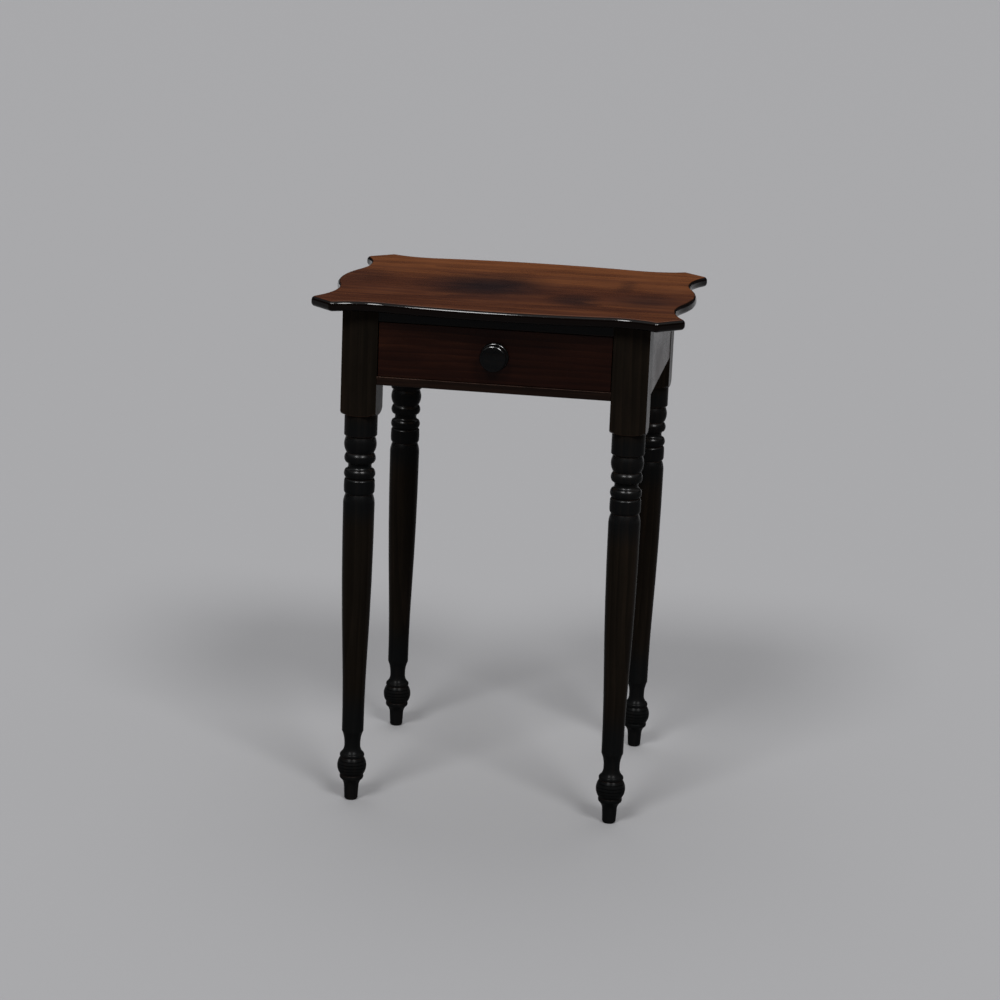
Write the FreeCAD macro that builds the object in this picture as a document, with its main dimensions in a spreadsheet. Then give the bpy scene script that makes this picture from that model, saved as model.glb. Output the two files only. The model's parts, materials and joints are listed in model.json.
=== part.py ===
import FreeCAD, Part
import os
import Sketcher

# A one-drawer stand: four turned legs, three aprons, two front rails, a shaped top and a drawer.
# Millimetres. +Z is up, the drawer faces -Y, and the origin lies on the floor between the legs.

# Driving dimensions. A name that ends in share is a part of another size and has no unit.
SIZES = {
    # Whole table
    "table_height": 704,
    "leg_spacing_x": 360,
    # Top
    "top_thickness": 14,
    "top_width": 497,
    "top_depth": 440,
    "cant_x": 34.5,
    "cant_y": 36,
    "front_hollow_reach": 52,
    "front_hollow_setback": 16,
    "front_bow_setback": 2.5,
    "side_hollow_reach": 74,
    "side_hollow_setback": 18.5,
    "side_bow_setback": 2,
    "top_tip_round": 6,
    "top_edge_round": 5.5,
    # Leg post
    "post_width": 48,
    "post_length": 144,
    "post_arris_round": 1,
    "shoulder_margin": 1,
    "turning_root": 20,
    # Leg turning, from the floor up: the rise of each stretch and the radius at its upper end
    "peg_end_radius": 7.4,
    "peg_chamfer_rise": 2.2,
    "peg_chamfer_radius": 9.3,
    "peg_rise": 17.8,
    "peg_radius": 10.2,
    "flare_rise": 11,
    "flare_radius": 15.7,
    "flare_hollow": 1.3,
    "foot_ring_rise": 5.5,
    "foot_ring_radius": 15.7,
    "foot_ring_swell": 0.8,
    "ball_rise": 25.5,
    "ball_radius": 15.9,
    "ball_swell": 4.3,
    "ankle_ring_rise": 6,
    "ankle_ring_radius": 15.2,
    "ankle_ring_swell": 1.4,
    "ankle_rise": 12,
    "ankle_radius": 11.1,
    "ankle_hollow": 1.4,
    "ankle_cove_rise": 20,
    "shaft_low_radius": 14.9,
    "ankle_cove_hollow": 1.2,
    "shaft_high_radius": 21.4,
    "shaft_hollow_share": 0.35,
    "shaft_shoulder_rise": 16.5,
    "shaft_shoulder_radius": 18.5,
    "shaft_shoulder_swell": 1,
    "lower_ring_foot_rise": 4,
    "lower_ring_foot_radius": 20.7,
    "lower_ring_foot_swell": 0.5,
    "lower_ring_rise": 13,
    "lower_ring_radius": 20.7,
    "lower_ring_swell": 0.25,
    "lower_ring_head_rise": 4.5,
    "lower_ring_head_radius": 18.2,
    "lower_ring_head_swell": 1,
    "middle_ring_rise": 12.2,
    "middle_ring_radius": 19.4,
    "middle_ring_swell": 2.4,
    "cove_rise": 10.2,
    "cove_radius": 19.4,
    "cove_hollow": 3.7,
    "upper_ring_rise": 12.7,
    "upper_ring_radius": 18.2,
    "upper_ring_swell": 2.4,
    "cup_rise": 20.5,
    "cup_radius": 20.3,
    "cup_swell": 2.6,
    "groove_floor_rise": 1.8,
    "groove_floor_radius": 19.7,
    "groove_rise": 2.6,
    "collar_radius": 22.3,
    "collar_length": 28.5,
    # Aprons and their tenons
    "apron_thickness": 18,
    "apron_height": 98,
    "apron_setback": 0.8,
    "tenon_length": 22,
    "tenon_thickness": 8,
    "tenon_inset": 5,
    "tenon_top_shoulder": 14,
    "tenon_bottom_shoulder": 8,
    "joint_clearance": 0.1,
    "cut_overrun": 2,
    # Front rails
    "rail_depth": 44,
    "rail_setback": 0.8,
    "upper_rail_thickness": 14,
    "dovetail_length": 16,
    "dovetail_neck": 22,
    "dovetail_flare": 4,
    "drawer_opening_height": 74,
    "blade_thickness": 11.5,
    "blade_tenon_inset": 8,
    "blade_tenon_shoulder": 2,
    # Strips that carry and steer the drawer
    "runner_lap": 16,
    "runner_thickness": 9.5,
    "guide_height": 16,
    "strip_clearance": 0.2,
    "stop_width": 20,
    "stop_depth": 14,
    "stop_thickness": 4,
    # Glue blocks and the screws of the top
    "block_size": 18,
    "block_length": 60,
    "block_spacing": 150,
    "screw_radius": 2.1,
    "screw_length": 24,
    "screw_head_radius": 4.2,
    "screw_head_height": 3,
    "screw_clearance": 0.15,
    "rail_screw_spacing": 190,
    "kicker_screw_spacing": 160,
    # Drawer
    "drawer_length": 330,
    "drawer_back_room": 24.2,
    "drawer_recess": 2.2,
    "drawer_side_gap": 1,
    "drawer_top_gap": 1,
    "slide_clearance": 0.3,
    "drawer_front_thickness": 20,
    "drawer_front_lap": 6,
    "drawer_side_thickness": 11,
    "drawer_side_drop": 1,
    "drawer_back_thickness": 10,
    "drawer_back_drop": 2,
    "drawer_bottom_thickness": 6,
    "groove_height": 6,
    "groove_depth": 5,
    "tail_root_share": 0.6,
    "tail_tip_share": 0.78,
    "nail_radius": 0.9,
    "nail_length": 24,
    "nail_head_radius": 2.2,
    "nail_head_height": 0.8,
    "nail_spacing": 95,
    # Knob
    "knob_dome_radius": 15,
    "knob_dome_length": 2,
    "knob_edge_length": 2.4,
    "knob_edge_swell": 0.48,
    "knob_rim_radius": 17.6,
    "knob_rim_length": 2.6,
    "knob_rim_swell": 0.2,
    "knob_head_length": 2.6,
    "knob_head_swell": 0.6,
    "knob_neck_radius": 9,
    "knob_neck_length": 4.2,
    "knob_neck_hollow": 0.7,
    "knob_base_edge_radius": 16.8,
    "knob_base_radius": 19.2,
    "knob_base_length": 1.2,
    "knob_band_length": 4,
    "knob_band_swell": 0.9,
    "knob_tenon_radius": 6,
}

# Number of dovetails down each corner of the drawer
FRONT_TAILS = 3
BACK_TAILS = 2

doc = FreeCAD.newDocument("OneDrawerStand")

sheet = doc.addObject("Spreadsheet::Sheet", "size")
for row, (alias, value) in enumerate(SIZES.items(), start=1):
    sheet.set(f"A{row}", alias)
    sheet.set(f"B{row}", str(value))
    sheet.setAlias(f"B{row}", alias)
doc.recompute()

# Places that follow from the driving dimensions
plan = doc.addObject("App::VarSet", "plan")


def derive(name, expression):
    """Name a place or size that follows from others."""
    plan.addProperty("App::PropertyFloat", name, "Plan")
    plan.setExpression(name, expression)


derive("under_top", "size.table_height - size.top_thickness")
derive("leg_x", "size.leg_spacing_x / 2")
derive("frame_setbacks", "size.apron_setback + size.rail_setback + size.drawer_recess")
derive("drawer_space", "size.drawer_length + size.drawer_back_room")
derive("frame_depth", "drawer_space + size.apron_thickness + frame_setbacks")
derive("leg_spacing_y", "frame_depth - size.post_width")
derive("leg_y", "leg_spacing_y / 2")
derive("post_half", "size.post_width / 2")
derive("post_bottom", "under_top - size.post_length")
derive("shoulder_radius", "size.post_width / sqrt(2) - size.collar_radius + size.shoulder_margin")
derive("inner_x", "leg_x - post_half")
derive("inner_y", "leg_y - post_half")
derive("apron_face", "post_half - size.apron_setback")
derive("tenon_outer", "apron_face - size.tenon_inset")
derive("tenon_inner", "tenon_outer - size.tenon_thickness")
derive("apron_inner_x", "leg_x + apron_face - size.apron_thickness")
derive("apron_inner_y", "leg_y + apron_face - size.apron_thickness")
derive("apron_bottom", "under_top - size.apron_height")
derive("tenon_bottom", "apron_bottom + size.tenon_bottom_shoulder")
derive("tenon_top", "under_top - size.tenon_top_shoulder")
derive("rail_front", "size.rail_setback - leg_y - post_half")
derive("rail_back", "rail_front + size.rail_depth")
derive("dovetail_front", "rail_front + (size.rail_depth - size.dovetail_neck) / 2")
derive("dovetail_back", "dovetail_front + size.dovetail_neck")
derive("opening_top", "under_top - size.upper_rail_thickness")
derive("blade_top", "opening_top - size.drawer_opening_height")
derive("blade_bottom", "blade_top - size.blade_thickness")
derive("strip_inner_x", "inner_x - size.runner_lap")
derive("strip_outer_x", "inner_x - size.strip_clearance")
derive("strip_end_y", "inner_y - size.strip_clearance")
derive("stop_x", "leg_x / 2")
derive("kicker_screw_x", "(inner_x + apron_inner_x) / 2")
derive("rail_screw_y", "(rail_front + rail_back) / 2")
derive("drawer_face", "rail_front + size.drawer_recess")
derive("drawer_root", "drawer_face + size.drawer_front_thickness")
derive("drawer_end", "drawer_face + size.drawer_length")
derive("back_root", "drawer_end - size.drawer_back_thickness")
derive("drawer_base", "blade_top + size.slide_clearance")
derive("drawer_half", "inner_x - size.drawer_side_gap")
derive("front_height", "size.drawer_opening_height - size.slide_clearance - size.drawer_top_gap")
derive("side_height", "front_height - size.drawer_side_drop")
derive("side_inner_x", "drawer_half - size.drawer_side_thickness")
derive("panel_top", "size.groove_height + size.drawer_bottom_thickness")
derive("groove_bottom", "size.groove_height - size.joint_clearance")
derive("groove_top", "panel_top + size.joint_clearance")
derive("back_bottom", "groove_top")
derive("back_top", "side_height - size.drawer_back_drop")
derive("knob_z", "drawer_base + front_height / 2")
derive("knob_dome_chord", "sqrt(size.knob_dome_radius^2 + size.knob_dome_length^2)")
derive("knob_dome_curve", "knob_dome_chord^2 / (2 * size.knob_dome_length)")
derive("knob_dome_swell", "knob_dome_curve - sqrt(knob_dome_curve^2 - knob_dome_chord^2 / 4)")
derive("knob_rim_at", "size.knob_dome_length + size.knob_edge_length")
derive("knob_head_at", "knob_rim_at + size.knob_rim_length")
derive("knob_neck_at", "knob_head_at + size.knob_head_length")
derive("knob_base_at", "knob_neck_at + size.knob_neck_length")
derive("knob_band_at", "knob_base_at + size.knob_base_length")
derive("knob_seat_at", "knob_band_at + size.knob_band_length")
doc.recompute()


def number(expression):
    """The present value of an expression."""
    return float(plan.evalExpression(expression))


def origin_plane(body, role):
    """The plane of a body's own origin that has this role."""
    return next(plane for plane in body.Origin.OriginFeatures if plane.Role == role)


def draw_outline(sketch, corners):
    """Draw a closed outline whose corners and arcs are bound to the sizes.

    A corner is (x, y, swell). The first two are expressions for its place. The third is an
    expression for how far the stretch that leaves the corner bulges to its right as an arc, or
    None where the stretch is straight.
    """
    places = [FreeCAD.Vector(number(x), number(y), 0) for x, y, swell in corners]
    stretches = []
    constraints = []
    bindings = {}

    for index, (x, y, swell) in enumerate(corners):
        following = (index + 1) % len(corners)
        start = places[index]
        stop = places[following]
        if swell is None:
            stretches.append((sketch.addGeometry(Part.LineSegment(start, stop)), 1, 2))
            continue
        to_right = FreeCAD.Vector(stop.y - start.y, start.x - stop.x, 0).normalize()
        apex = (start + stop) * 0.5 + to_right * number(swell)
        arc = sketch.addGeometry(Part.ArcOfCircle(start, apex, stop))
        arc_start = sketch.getPoint(arc, 1)
        backward = arc_start.distanceToPoint(stop) < arc_start.distanceToPoint(start)
        stretches.append((arc, 2, 1) if backward else (arc, 1, 2))
        chord_square = f"((({corners[following][0]}) - ({x}))^2 + (({corners[following][1]}) - ({y}))^2)"
        bindings[len(constraints)] = f"({chord_square} / 4 + ({swell})^2) / (2 * abs({swell}))"
        constraints.append(Sketcher.Constraint("Radius", arc, number(bindings[len(constraints)])))

    for index, (x, y, swell) in enumerate(corners):
        stretch, first, last = stretches[index]
        before, before_first, before_last = stretches[index - 1]
        constraints.append(Sketcher.Constraint("Coincident", before, before_last, stretch, first))
        for expression, direction, axis in ((x, "DistanceX", -2), (y, "DistanceY", -1)):
            if expression == "0":
                constraints.append(Sketcher.Constraint("PointOnObject", stretch, first, axis))
                continue
            bindings[len(constraints)] = expression
            place = number(expression)
            constraints.append(Sketcher.Constraint(direction, -1, 1, stretch, first, place))

    sketch.addConstraint(constraints)
    for index, expression in bindings.items():
        sketch.setExpression(f"Constraints[{index}]", expression)


def add_sketch(body, name, plane, corners, lift="0"):
    """A sketch on one of a body's own planes, lifted off it by an expression."""
    sketch = body.newObject("Sketcher::SketchObject", name)
    sketch.AttachmentSupport = (origin_plane(body, plane), "")
    sketch.MapMode = "FlatFace"
    sketch.setExpression("AttachmentOffset.Base.z", lift)
    draw_outline(sketch, corners)
    return sketch


def add_extrusion(body, kind, name, sketch, length, backward=False):
    """A Pad or a Pocket of a sketch."""
    feature = body.newObject(f"PartDesign::{kind}", name)
    feature.Profile = sketch
    feature.setExpression("Length", length)
    feature.Reversed = backward
    return feature


def add_turning(body, kind, name, sketch):
    """A Revolution or a Groove of a sketch, all the way round the sketch's vertical axis."""
    feature = body.newObject(f"PartDesign::{kind}", name)
    feature.Profile = sketch
    feature.ReferenceAxis = (sketch, ["V_Axis"])
    return feature


def add_fillet(body, name, feature, radius, chosen):
    """Round the edges of a feature for which chosen(edge) holds."""
    doc.recompute()
    edges = [f"Edge{index}" for index, edge in enumerate(feature.Shape.Edges, start=1) if chosen(edge)]
    fillet = body.newObject("PartDesign::Fillet", name)
    fillet.Base = (feature, edges)
    fillet.setExpression("Radius", radius)
    return fillet


def bind_box(box, low, high):
    """Bind a box to its low and its high corner, each of them three expressions."""
    for side, axis, start, stop in zip(("Length", "Width", "Height"), "xyz", low, high):
        box.setExpression(side, f"({stop}) - ({start})")
        box.setExpression(f"Placement.Base.{axis}", start)
    return box


def add_box(name, low, high):
    """A plain block between two corners."""
    return bind_box(doc.addObject("Part::Box", name), low, high)


def cut_box(body, name, low, high):
    """Cut the block between two corners out of a body."""
    return bind_box(body.newObject("PartDesign::SubtractiveBox", name), low, high)


def cut_bore(body, name, place, radius, depth):
    """Cut an upright round hole, from its low end, out of a body."""
    bore = body.newObject("PartDesign::SubtractiveCylinder", name)
    bore.setExpression("Radius", radius)
    bore.setExpression("Height", depth)
    bind_place(bore, place)
    return bore


def cut_cone(body, name, place, low_radius, high_radius, depth):
    """Cut an upright round taper, from its low end, out of a body."""
    cone = body.newObject("PartDesign::SubtractiveCone", name)
    cone.setExpression("Radius1", low_radius)
    cone.setExpression("Radius2", high_radius)
    cone.setExpression("Height", depth)
    bind_place(cone, place)
    return cone


def bind_place(piece, place):
    """Bind the place of a piece to three expressions."""
    for axis, expression in zip("xyz", place):
        piece.setExpression(f"Placement.Base.{axis}", expression)


def stretch_on_side(side, near, far):
    """The low and high end of a stretch that runs from near to far on the side of this sign."""
    if side > 0:
        return near, far
    return f"-({far})", f"-({near})"


def mirrored(side, expression):
    """The expression, on the side of this sign."""
    return expression if side > 0 else f"-({expression})"


subparts = []


def keep(piece, label):
    """Give a finished piece its name and list it for writing."""
    piece.Label = label
    subparts.append(piece)
    return piece


def add_body(label):
    """An empty body, listed under its name."""
    return keep(doc.addObject("PartDesign::Body", label), label)


def join(label, pieces):
    """One solid made of several blocks."""
    fused = doc.addObject("Part::MultiFuse", label)
    fused.Shapes = pieces
    fused.Refine = True
    return keep(fused, label)


def group(label, pieces):
    """Several separate solids under one name."""
    compound = doc.addObject("Part::Compound", label)
    compound.Links = pieces
    return keep(compound, label)


LEFT, RIGHT = -1, 1
FRONT, REAR = -1, 1
SIDES = (("left", LEFT), ("right", RIGHT))
ENDS = (("front", FRONT), ("rear", REAR))

# Places of the screws that hold the top: two in the upper rail and two in each kicker
RAIL_SCREWS = [(mirrored(side, "size.rail_screw_spacing / 2"), "plan.rail_screw_y") for name, side in SIDES]
KICKER_SCREWS = {
    side: [(mirrored(side, "plan.kicker_screw_x"), mirrored(end, "size.kicker_screw_spacing / 2"))
           for end_name, end in ENDS]
    for name, side in SIDES
}
TOP_SCREWS = RAIL_SCREWS + KICKER_SCREWS[LEFT] + KICKER_SCREWS[RIGHT]
SCREW_BORE = "size.screw_radius + size.screw_clearance"


# Top


def derive_edge(name, half_length, distance):
    """Places on one edge of the top, whose hollow, bow and hollow are tangent arcs."""
    reach = f"size.{name}_hollow_reach"
    setback = f"size.{name}_hollow_setback"
    derive(f"{name}_half", half_length)
    derive(f"{name}_out", distance)
    derive(f"{name}_rise", f"{setback} - size.{name}_bow_setback")
    derive(f"{name}_hollow_at", f"{name}_half - {reach}")
    derive(f"{name}_hollow_radius", f"({reach}^2 + {setback}^2) / (2 * {setback})")
    derive(f"{name}_centres", f"({name}_hollow_at^2 + {name}_rise^2) / (2 * {name}_rise)")
    derive(f"{name}_lead", f"{name}_hollow_radius / {name}_centres")
    derive(f"{name}_joint_at", f"{name}_hollow_at * (1 - {name}_lead)")
    derive(f"{name}_joint_out", f"{name}_out - {setback} + {name}_lead * {name}_rise")
    derive(f"{name}_bow", f"{name}_rise * (1 - {name}_lead)")
    derive(f"{name}_chord", f"sqrt(({name}_half - {name}_joint_at)^2 + ({name}_out - {name}_joint_out)^2)")
    derive(f"{name}_hollow", f"{name}_hollow_radius - sqrt({name}_hollow_radius^2 - {name}_chord^2 / 4)")


def edge_corners(name, turn):
    """The corners of one edge, with turn to set (along, outward) into (x, y); a cant follows it."""
    places = (
        (f"-plan.{name}_half", f"plan.{name}_out", f"-plan.{name}_hollow"),
        (f"-plan.{name}_joint_at", f"plan.{name}_joint_out", f"plan.{name}_bow"),
        (f"plan.{name}_joint_at", f"plan.{name}_joint_out", f"-plan.{name}_hollow"),
        (f"plan.{name}_half", f"plan.{name}_out", None),
    )
    return [(*turn(along, outward), swell) for along, outward, swell in places]


derive_edge("front", "size.top_width / 2 - size.cant_x", "size.top_depth / 2")
derive_edge("side", "size.top_depth / 2 - size.cant_y", "size.top_width / 2")
doc.recompute()

top = add_body("top")
top_outline = (
    edge_corners("front", lambda along, outward: (along, f"-({outward})"))
    + edge_corners("side", lambda along, outward: (outward, along))
    + edge_corners("front", lambda along, outward: (f"-({along})", outward))
    + edge_corners("side", lambda along, outward: (f"-({outward})", f"-({along})"))
)
top_board = add_extrusion(top, "Pad", "TopBoard", add_sketch(top, "TopOutline", "XY_Plane", top_outline),
                          "size.top_thickness")


def upright(edge):
    """Whether an edge runs up and down."""
    return abs(edge.Vertexes[0].Z - edge.Vertexes[-1].Z) > edge.Length / 2


def at_cant(edge):
    """Whether an edge stands at one end of a cant, past the joints of the arcs both ways."""
    margin = number("size.top_tip_round")
    place = edge.CenterOfMass
    past_front = abs(place.x) > number("plan.front_joint_at") + margin
    past_side = abs(place.y) > number("plan.side_joint_at") + margin
    return upright(edge) and past_front and past_side


top_tips = add_fillet(top, "TopTips", top_board, "size.top_tip_round", at_cant)
add_fillet(top, "TopEdge", top_tips, "size.top_edge_round", lambda edge: not upright(edge))
derive("screw_bite", "size.screw_length - size.upper_rail_thickness + size.screw_clearance")
for x, y in TOP_SCREWS:
    cut_bore(top, "TopPilot", (x, y, "0"), SCREW_BORE, "plan.screw_bite")
bind_place(top, ("0", "0", "plan.under_top"))


# Legs

# Each turned stretch above the foot's end: name, and the sizes of its rise, upper radius and swell.
# The two stretches of the shaft share the height that the others leave.
derive("shaft_fall", "size.shaft_high_radius - size.shaft_low_radius")
derive("shaft_mid_radius", "size.shaft_low_radius + shaft_fall * size.shaft_hollow_share")
derive("shaft_hollow", "shaft_fall * size.shaft_hollow_share / 4")
derive("shaft_swell", "shaft_fall * (1 - size.shaft_hollow_share) / 4")
BELOW_SHAFT = [
    ("peg_chamfer", "size.peg_chamfer_radius", None),
    ("peg", "size.peg_radius", None),
    ("flare", "size.flare_radius", "-size.flare_hollow"),
    ("foot_ring", "size.foot_ring_radius", "size.foot_ring_swell"),
    ("ball", "size.ball_radius", "size.ball_swell"),
    ("ankle_ring", "size.ankle_ring_radius", "size.ankle_ring_swell"),
    ("ankle", "size.ankle_radius", "-size.ankle_hollow"),
    ("ankle_cove", "size.shaft_low_radius", "-size.ankle_cove_hollow"),
]
ABOVE_SHAFT = [
    ("shaft_shoulder", "size.shaft_shoulder_radius", "size.shaft_shoulder_swell"),
    ("lower_ring_foot", "size.lower_ring_foot_radius", "size.lower_ring_foot_swell"),
    ("lower_ring", "size.lower_ring_radius", "size.lower_ring_swell"),
    ("lower_ring_head", "size.lower_ring_head_radius", "size.lower_ring_head_swell"),
    ("middle_ring", "size.middle_ring_radius", "size.middle_ring_swell"),
    ("cove", "size.cove_radius", "-size.cove_hollow"),
    ("upper_ring", "size.upper_ring_radius", "size.upper_ring_swell"),
    ("cup", "size.cup_radius", "size.cup_swell"),
    ("groove_floor", "size.groove_floor_radius", None),
    ("groove", "size.collar_radius", None),
]


def rectangle(low_x, low_y, high_x, high_y):
    """The corners of a rectangle."""
    return [(low_x, low_y, None), (high_x, low_y, None), (high_x, high_y, None), (low_x, high_y, None)]


def total_rise(stretches):
    """The height of several turned stretches together."""
    return " + ".join(f"size.{name}_rise" for name, radius, swell in stretches)


derive("shaft_foot", total_rise(BELOW_SHAFT))
derive("shaft_head", f"post_bottom - size.collar_length - ({total_rise(ABOVE_SHAFT)})")
derive("shaft_middle", "shaft_foot + (shaft_head - shaft_foot) * size.shaft_hollow_share")
doc.recompute()


def turning_corners():
    """The outline of the turning from the floor up to its root in the post."""
    corners = [("0", "0", None)]
    radius = "size.peg_end_radius"
    height = "0"
    for name, upper_radius, swell in BELOW_SHAFT:
        corners.append((radius, height, swell))
        radius = upper_radius
        height = f"{height} + size.{name}_rise"
    corners.append((radius, height, "-plan.shaft_hollow"))
    corners.append(("plan.shaft_mid_radius", "plan.shaft_middle", "plan.shaft_swell"))
    radius = "size.shaft_high_radius"
    height = "plan.shaft_head"
    for name, upper_radius, swell in ABOVE_SHAFT:
        corners.append((radius, height, swell))
        radius = upper_radius
        height = f"{height} + size.{name}_rise"
    corners.append((radius, height, None))
    root = "plan.post_bottom + size.turning_root"
    corners.append((radius, root, None))
    corners.append(("0", root, None))
    return corners


def shoulder_corners():
    """The waste that the lathe takes off the lower end of the post, in a round shoulder."""
    outer = "size.post_width"
    shoulder = "plan.post_bottom + plan.shoulder_radius"
    floor = "plan.post_bottom - size.cut_overrun"
    return [
        ("size.collar_radius", "plan.post_bottom", "plan.shoulder_radius * (1 - 1 / sqrt(2))"),
        ("size.collar_radius + plan.shoulder_radius", shoulder, None),
        (outer, shoulder, None),
        (outer, floor, None),
        ("size.collar_radius", floor, None),
    ]


def cut_apron_mortises(leg, side, end):
    """Mortises for the tenon of the side apron and, in a rear leg, for that of the back apron."""
    gap = "size.joint_clearance"
    depth = (f"plan.post_half - size.tenon_length - {gap}", "plan.post_half + size.cut_overrun")
    width = (f"plan.tenon_inner - {gap}", f"plan.tenon_outer + {gap}")
    low_z = f"plan.tenon_bottom - {gap}"
    high_z = f"plan.tenon_top + {gap}"
    low_x, high_x = stretch_on_side(side, *width)
    low_y, high_y = stretch_on_side(-end, *depth)
    cut_box(leg, "SideMortise", (low_x, low_y, low_z), (high_x, high_y, high_z))
    if end == REAR:
        low_x, high_x = stretch_on_side(-side, *depth)
        low_y, high_y = stretch_on_side(end, *width)
        cut_box(leg, "BackMortise", (low_x, low_y, low_z), (high_x, high_y, high_z))


def cut_rail_joints(leg, side):
    """The mortise of the drawer blade and the dovetail socket of the upper rail, in a front leg."""
    gap = "size.joint_clearance"
    low_x, high_x = stretch_on_side(-side, f"plan.post_half - size.tenon_length - {gap}",
                                    "plan.post_half + size.cut_overrun")
    low = (low_x, f"plan.leg_y + plan.rail_front + size.blade_tenon_inset - {gap}",
           f"plan.blade_bottom + size.blade_tenon_shoulder - {gap}")
    high = (high_x, f"plan.leg_y + plan.rail_back - size.blade_tenon_inset + {gap}",
            f"plan.blade_top - size.blade_tenon_shoulder + {gap}")
    cut_box(leg, "BladeMortise", low, high)

    mouth = mirrored(-side, "plan.post_half")
    floor = mirrored(-side, f"plan.post_half - size.dovetail_length - {gap}")
    outside = mirrored(-side, "plan.post_half + size.cut_overrun")
    neck_front = f"plan.leg_y + plan.dovetail_front - {gap}"
    neck_back = f"plan.leg_y + plan.dovetail_back + {gap}"
    socket = [
        (outside, neck_front, None),
        (mouth, neck_front, None),
        (floor, f"{neck_front} - size.dovetail_flare", None),
        (floor, f"{neck_back} + size.dovetail_flare", None),
        (mouth, neck_back, None),
        (outside, neck_back, None),
    ]
    sketch = add_sketch(leg, "DovetailSocket", "XY_Plane", socket, "plan.under_top")
    add_extrusion(leg, "Pocket", "DovetailCut", sketch, "size.upper_rail_thickness")


def build_leg(label, side, end):
    """A leg about its own axis, with the mortises for its place at one corner."""
    leg = add_body(label)
    square = rectangle("-plan.post_half", "-plan.post_half", "plan.post_half", "plan.post_half")
    square = add_sketch(leg, "PostOutline", "XY_Plane", square, "plan.post_bottom")
    post = add_extrusion(leg, "Pad", "Post", square, "size.post_length")
    add_fillet(leg, "PostArris", post, "size.post_arris_round", upright)
    waste = add_sketch(leg, "ShoulderWaste", "XZ_Plane", shoulder_corners())
    add_turning(leg, "Groove", "Shoulder", waste)
    outline = add_sketch(leg, "TurningOutline", "XZ_Plane", turning_corners())
    add_turning(leg, "Revolution", "Turning", outline)
    cut_apron_mortises(leg, side, end)
    if end == FRONT:
        cut_rail_joints(leg, side)
    bind_place(leg, (mirrored(side, "plan.leg_x"), mirrored(end, "plan.leg_y"), "0"))


for end_name, end in ENDS:
    for side_name, side in SIDES:
        build_leg(f"{end_name}_{side_name}_leg", side, end)


# Aprons


def build_side_apron(label, side):
    """A board between a front and a rear leg, with one tenon block that runs out of both ends."""
    low_x, high_x = stretch_on_side(side, "plan.apron_inner_x", "plan.leg_x + plan.apron_face")
    board = add_box(f"{label}_board", (low_x, "-plan.inner_y", "plan.apron_bottom"),
                    (high_x, "plan.inner_y", "plan.under_top"))
    low_x, high_x = stretch_on_side(side, "plan.leg_x + plan.tenon_inner", "plan.leg_x + plan.tenon_outer")
    tenons = add_box(f"{label}_tenons", (low_x, "-(plan.inner_y + size.tenon_length)", "plan.tenon_bottom"),
                     (high_x, "plan.inner_y + size.tenon_length", "plan.tenon_top"))
    join(label, [board, tenons])


for side_name, side in SIDES:
    build_side_apron(f"{side_name}_apron", side)

back_board = add_box("back_apron_board", ("-plan.inner_x", "plan.apron_inner_y", "plan.apron_bottom"),
                     ("plan.inner_x", "plan.leg_y + plan.apron_face", "plan.under_top"))
tenon_end = "(plan.inner_x + size.tenon_length)"
back_tenons = add_box("back_apron_tenons",
                      (f"-{tenon_end}", "plan.leg_y + plan.tenon_inner", "plan.tenon_bottom"),
                      (tenon_end, "plan.leg_y + plan.tenon_outer", "plan.tenon_top"))
join("back_apron", [back_board, back_tenons])


# Front rails

upper_rail = add_body("upper_rail")
rail_end = "plan.inner_x"
rail_tip = "plan.inner_x + size.dovetail_length"
flare_front = "plan.dovetail_front - size.dovetail_flare"
flare_back = "plan.dovetail_back + size.dovetail_flare"
right_end = [
    (rail_end, "plan.rail_front"),
    (rail_end, "plan.dovetail_front"),
    (rail_tip, flare_front),
    (rail_tip, flare_back),
    (rail_end, "plan.dovetail_back"),
    (rail_end, "plan.rail_back"),
]
left_end = [(f"-({x})", y) for x, y in reversed(right_end)]
rail_outline = add_sketch(upper_rail, "RailOutline", "XY_Plane",
                          [(x, y, None) for x, y in right_end + left_end], "plan.opening_top")
add_extrusion(upper_rail, "Pad", "Rail", rail_outline, "size.upper_rail_thickness")


def cut_screw_holes(body, places):
    """Countersunk screw holes up through a strip whose underside closes the drawer opening."""
    for x, y in places:
        cut_bore(body, "ScrewBore", (x, y, "plan.opening_top - size.cut_overrun"), SCREW_BORE,
                 "size.upper_rail_thickness + 2 * size.cut_overrun")
        cut_cone(body, "Countersink", (x, y, "plan.opening_top"),
                 "size.screw_head_radius + size.screw_clearance", SCREW_BORE, "size.screw_head_height")


cut_screw_holes(upper_rail, RAIL_SCREWS)

blade_board = add_box("drawer_blade_board", ("-plan.inner_x", "plan.rail_front", "plan.blade_bottom"),
                      ("plan.inner_x", "plan.rail_back", "plan.blade_top"))
blade_tenons = add_box("drawer_blade_tenons",
                       (f"-{tenon_end}", "plan.rail_front + size.blade_tenon_inset",
                        "plan.blade_bottom + size.blade_tenon_shoulder"),
                       (tenon_end, "plan.rail_back - size.blade_tenon_inset",
                        "plan.blade_top - size.blade_tenon_shoulder"))
join("drawer_blade", [blade_board, blade_tenons])


# Runners, kickers and guides


def strip_corners(side):
    """A strip along one apron, notched round the legs, from the front rail to the back apron."""
    right_hand = [
        ("plan.strip_inner_x", "plan.rail_back"),
        ("plan.strip_outer_x", "plan.rail_back"),
        ("plan.strip_outer_x", "-plan.strip_end_y"),
        ("plan.apron_inner_x", "-plan.strip_end_y"),
        ("plan.apron_inner_x", "plan.strip_end_y"),
        ("plan.strip_outer_x", "plan.strip_end_y"),
        ("plan.strip_outer_x", "plan.apron_inner_y"),
        ("plan.strip_inner_x", "plan.apron_inner_y"),
    ]
    return [(mirrored(side, x), y, None) for x, y in right_hand]


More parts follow.
